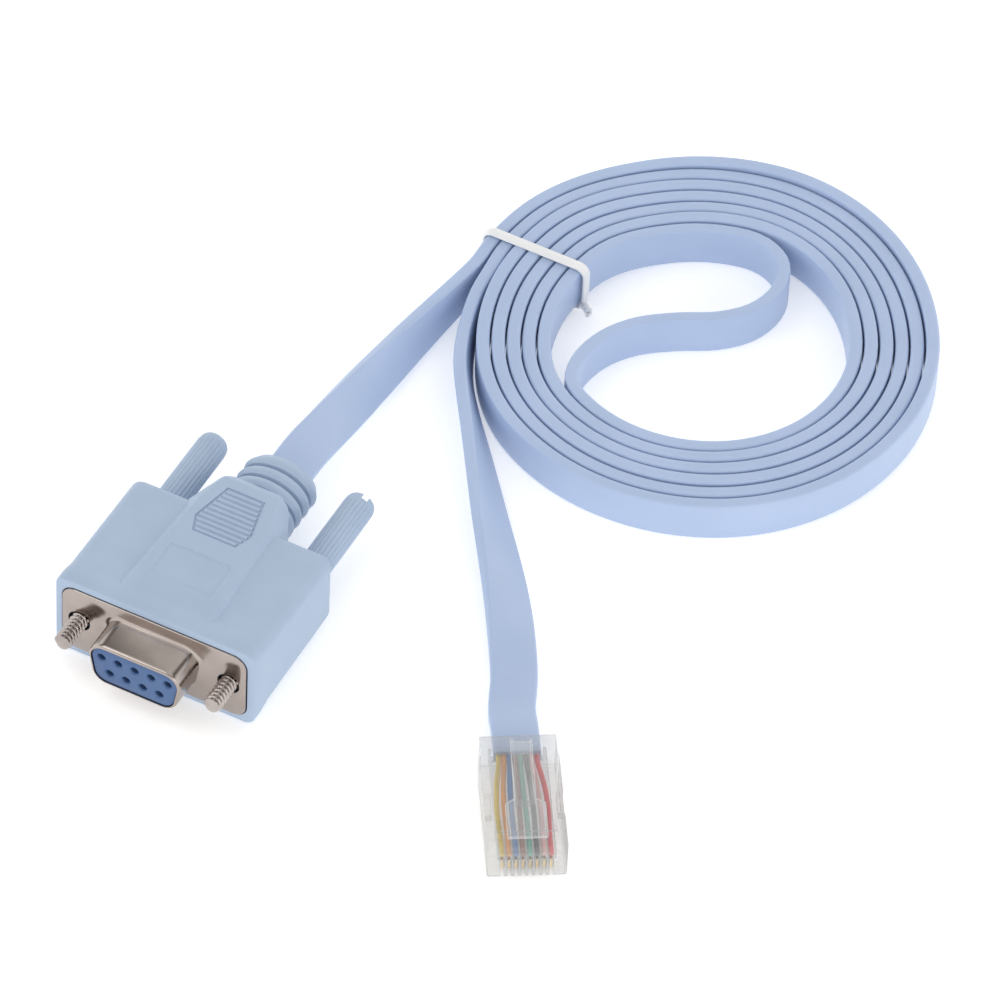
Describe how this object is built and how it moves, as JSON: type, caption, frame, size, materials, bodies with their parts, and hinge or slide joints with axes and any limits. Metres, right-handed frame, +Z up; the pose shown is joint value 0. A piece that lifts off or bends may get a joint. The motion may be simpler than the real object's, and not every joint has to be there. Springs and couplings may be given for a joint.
{
  "type": "rj45 console cable",
  "caption": "Flat console cable with a moulded D connector and thumbscrews at one end and a clear modular plug at the other, wound on edge into a tied coil.",
  "frame": {"origin": "on the ground plane, under the middle of the D connector with its thumbscrews", "axes": "+X across the D connector's width, -Y out of its mating face, +Z up"},
  "size_m": [0.0939, 0.1449, 0.015],
  "materials": {
    "hood_pvc": "fine-textured pale blue-grey moulded PVC",
    "nickel_plate": "nickel-plated pressed steel, semi-bright",
    "insulator_blue": "satin mid-blue moulded insulator",
    "contact_gold": "gold-flashed contact metal",
    "screw_steel": "nickel-plated machine screw",
    "cable_pvc": "smooth satin light-blue PVC sheath",
    "tie_white": "white plastic-coated twist tie",
    "clear_plastic": "clear moulded polycarbonate",
    "wire_yellow": "yellow insulated core",
    "wire_orange": "orange insulated core",
    "wire_blue": "blue insulated core",
    "wire_brown": "brown insulated core",
    "wire_green": "green insulated core",
    "wire_black": "black insulated core",
    "wire_pink": "pale pink insulated core",
    "wire_red": "red insulated core"
  },
  "bodies": {
    "cable": {"db9_hood": "hood_pvc", "db9_shell": "nickel_plate", "db9_insulator": "insulator_blue", "socket_contact_1": "contact_gold", "socket_contact_2": "contact_gold", "socket_contact_3": "contact_gold", "socket_contact_4": "contact_gold", "socket_contact_5": "contact_gold", "socket_contact_6": "contact_gold", "socket_contact_7": "contact_gold", "socket_contact_8": "contact_gold", "socket_contact_9": "contact_gold", "cable_tail_db9": "cable_pvc", "cable_coil": "cable_pvc", "cable_inner_fold": "cable_pvc", "cable_tail_rj45": "cable_pvc", "cable_tie": "tie_white", "rj45_body": "clear_plastic", "rj45_contact_1": "contact_gold", "rj45_contact_2": "contact_gold", "rj45_contact_3": "contact_gold", "rj45_contact_4": "contact_gold", "rj45_contact_5": "contact_gold", "rj45_contact_6": "contact_gold", "rj45_contact_7": "contact_gold", "rj45_contact_8": "contact_gold", "rj45_wire_1": "wire_yellow", "rj45_wire_2": "wire_orange", "rj45_wire_3": "wire_blue", "rj45_wire_4": "wire_brown", "rj45_wire_5": "wire_green", "rj45_wire_6": "wire_black", "rj45_wire_7": "wire_pink", "rj45_wire_8": "wire_red"},
    "thumbscrew_left": {"screw_left": "screw_steel", "thumbscrew_knob_left": "hood_pvc"},
    "thumbscrew_right": {"screw_right": "screw_steel", "thumbscrew_knob_right": "hood_pvc"},
    "latch": {"rj45_latch": "clear_plastic"}
  },
  "joints": [
    {"name": "thumbscrew_left_spin", "type": "hinge", "parent": "cable", "child": "thumbscrew_left", "pos_m": [-0.0125, 0, 0.0075], "axis": [0, 1, 0], "continuous": true},
    {"name": "thumbscrew_right_spin", "type": "hinge", "parent": "cable", "child": "thumbscrew_right", "pos_m": [0.0125, 0, 0.0075], "axis": [0, 1, 0], "continuous": true},
    {"name": "latch_flex", "type": "hinge", "parent": "cable", "child": "latch", "pos_m": [0.06421, -0.02229, 0.0073], "axis": [0.8508, 0.5255, 0], "range_deg": [-8, 0], "stiffness_Nm_per_rad": 0.05}
  ]
}
